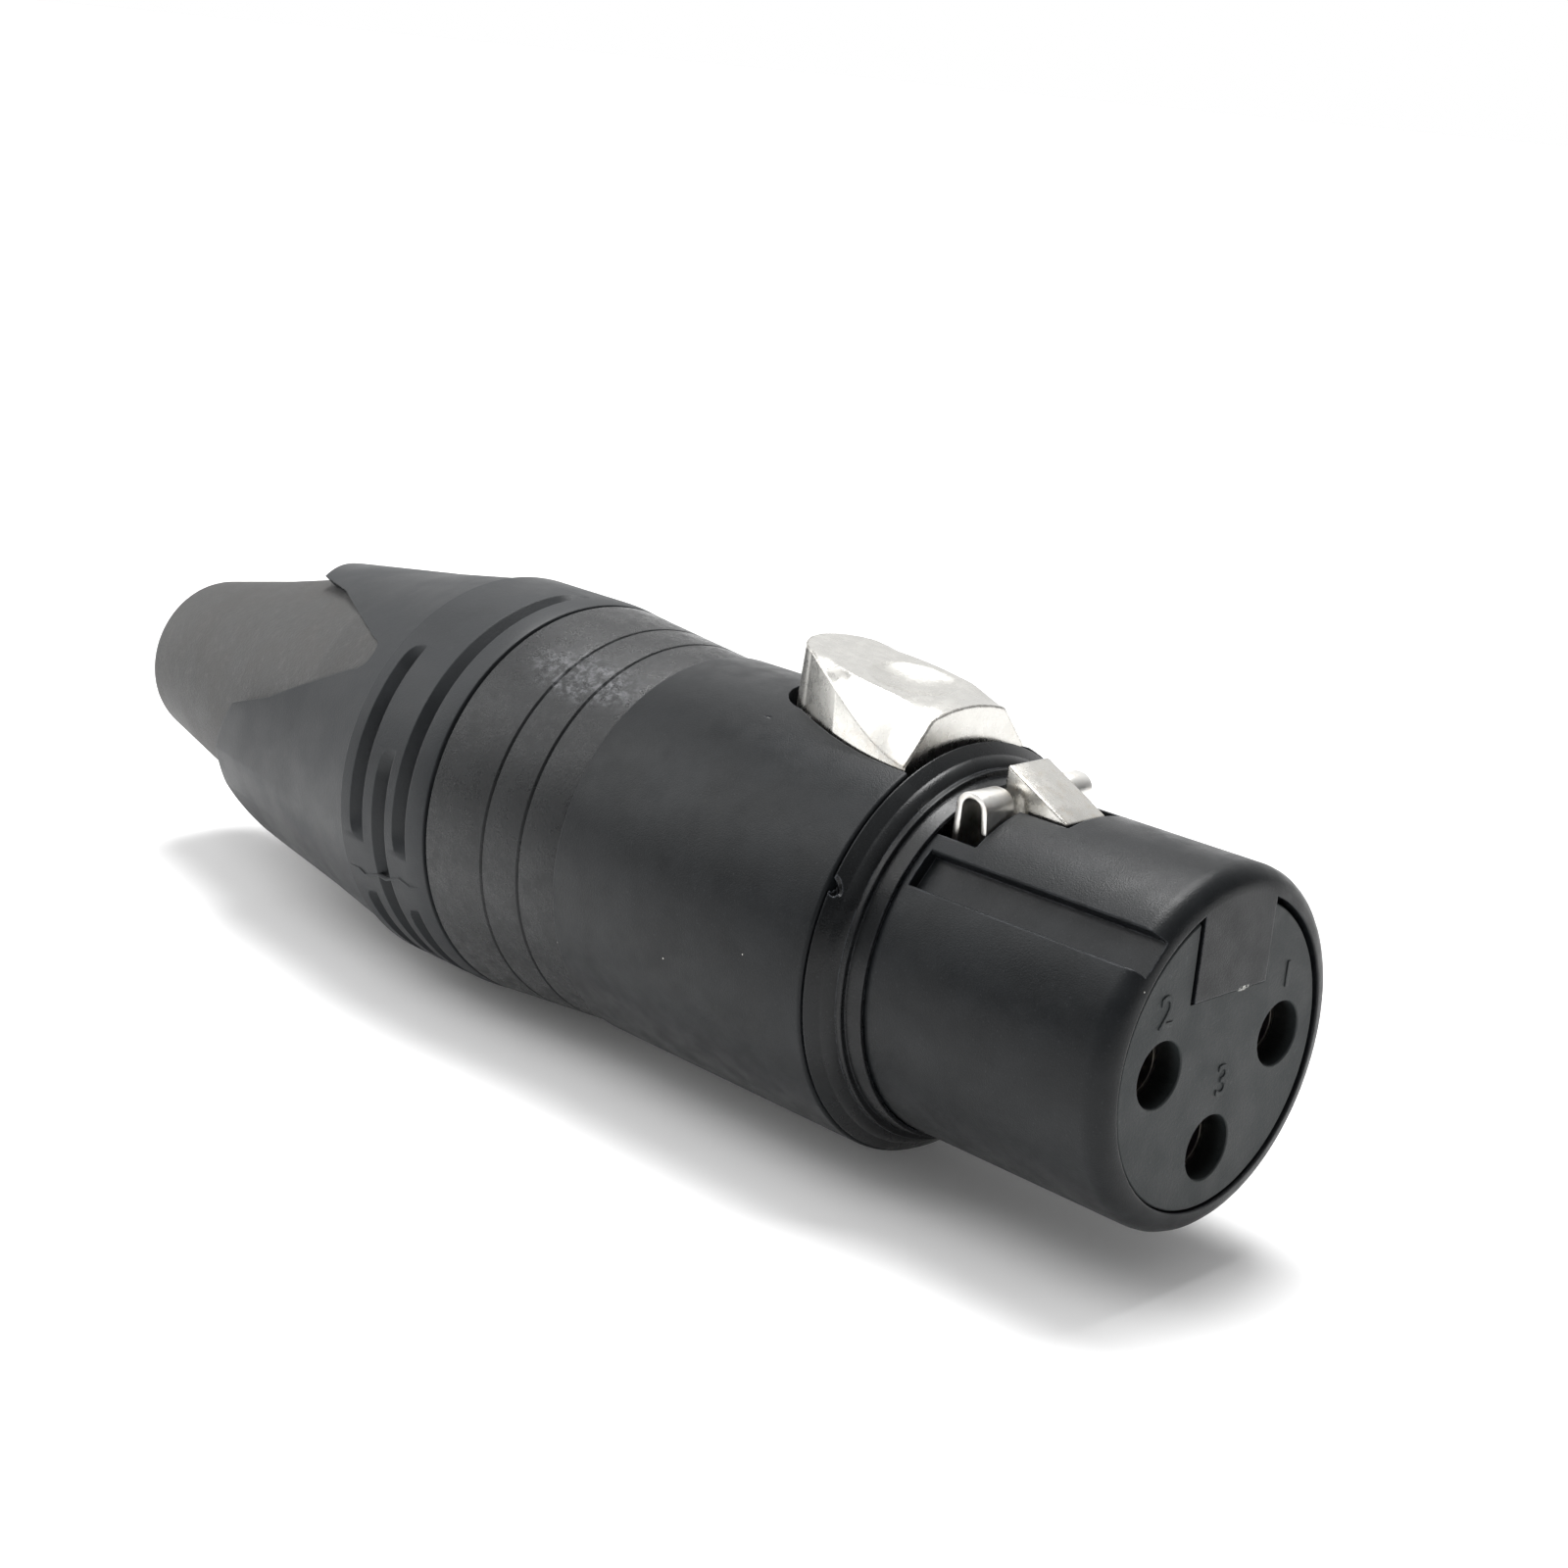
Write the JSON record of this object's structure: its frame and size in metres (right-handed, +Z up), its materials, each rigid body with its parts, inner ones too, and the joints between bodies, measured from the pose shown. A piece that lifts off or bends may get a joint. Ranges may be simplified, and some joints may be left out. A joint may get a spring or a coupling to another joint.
{
  "type": "female xlr connector",
  "caption": "Female cable connector with a round mating barrel, sprung thumb latch, flared marking ring and a petalled boot with a rubber strain relief.",
  "frame": {"origin": "middle of the part's length and width, at the height of the surface that it lies on", "axes": "+X along the connector's axis towards the mating face, +Z up through the latch, -Y towards the side the picture shows"},
  "size_m": [0.0728, 0.0206, 0.0225],
  "materials": {
    "shell_black": "satin black coating with a fine speckle",
    "ring_black": "satin",
    "marking_black": "glossy with patchy highlights",
    "insert_dark": "matte, faintly speckled",
    "contact_silver": "turned and plated",
    "spring_grey": "satin sheet",
    "latch_nickel": "cast and nickel plated, with fine pits",
    "steel": "ground",
    "chuck_grey": "moulded",
    "boot_slate": "semi-matte slate",
    "boot_rubber": "matte, mottled"
  },
  "bodies": {
    "housing": {"shell": "shell_black", "shoulder_ring": "ring_black", "marking_ring": "marking_black", "insert_front": "insert_dark", "insert_rear": "insert_dark", "contact_1": "contact_silver", "contact_2": "contact_silver", "contact_3": "contact_silver", "ground_spring": "spring_grey", "latch_pin": "steel", "latch_spring": "steel", "cable_chuck": "chuck_grey"},
    "latch": {"latch": "latch_nickel"},
    "boot": {"boot_skirt": "boot_slate", "boot_sleeve": "boot_rubber"}
  },
  "joints": [
    {"name": "latch_press", "type": "hinge", "parent": "housing", "child": "latch", "pos_m": [0.0128, 0, 0.0185], "axis": [0, 1, 0], "range_deg": [0, 8], "stiffness_Nm_per_rad": 0.1, "springref_deg": -5.73, "deforming": ["latch_spring"]},
    {"name": "boot_slide", "type": "slide", "parent": "housing", "child": "boot", "axis": [-1, 0, 0], "range_m": [0, 0.014]}
  ]
}
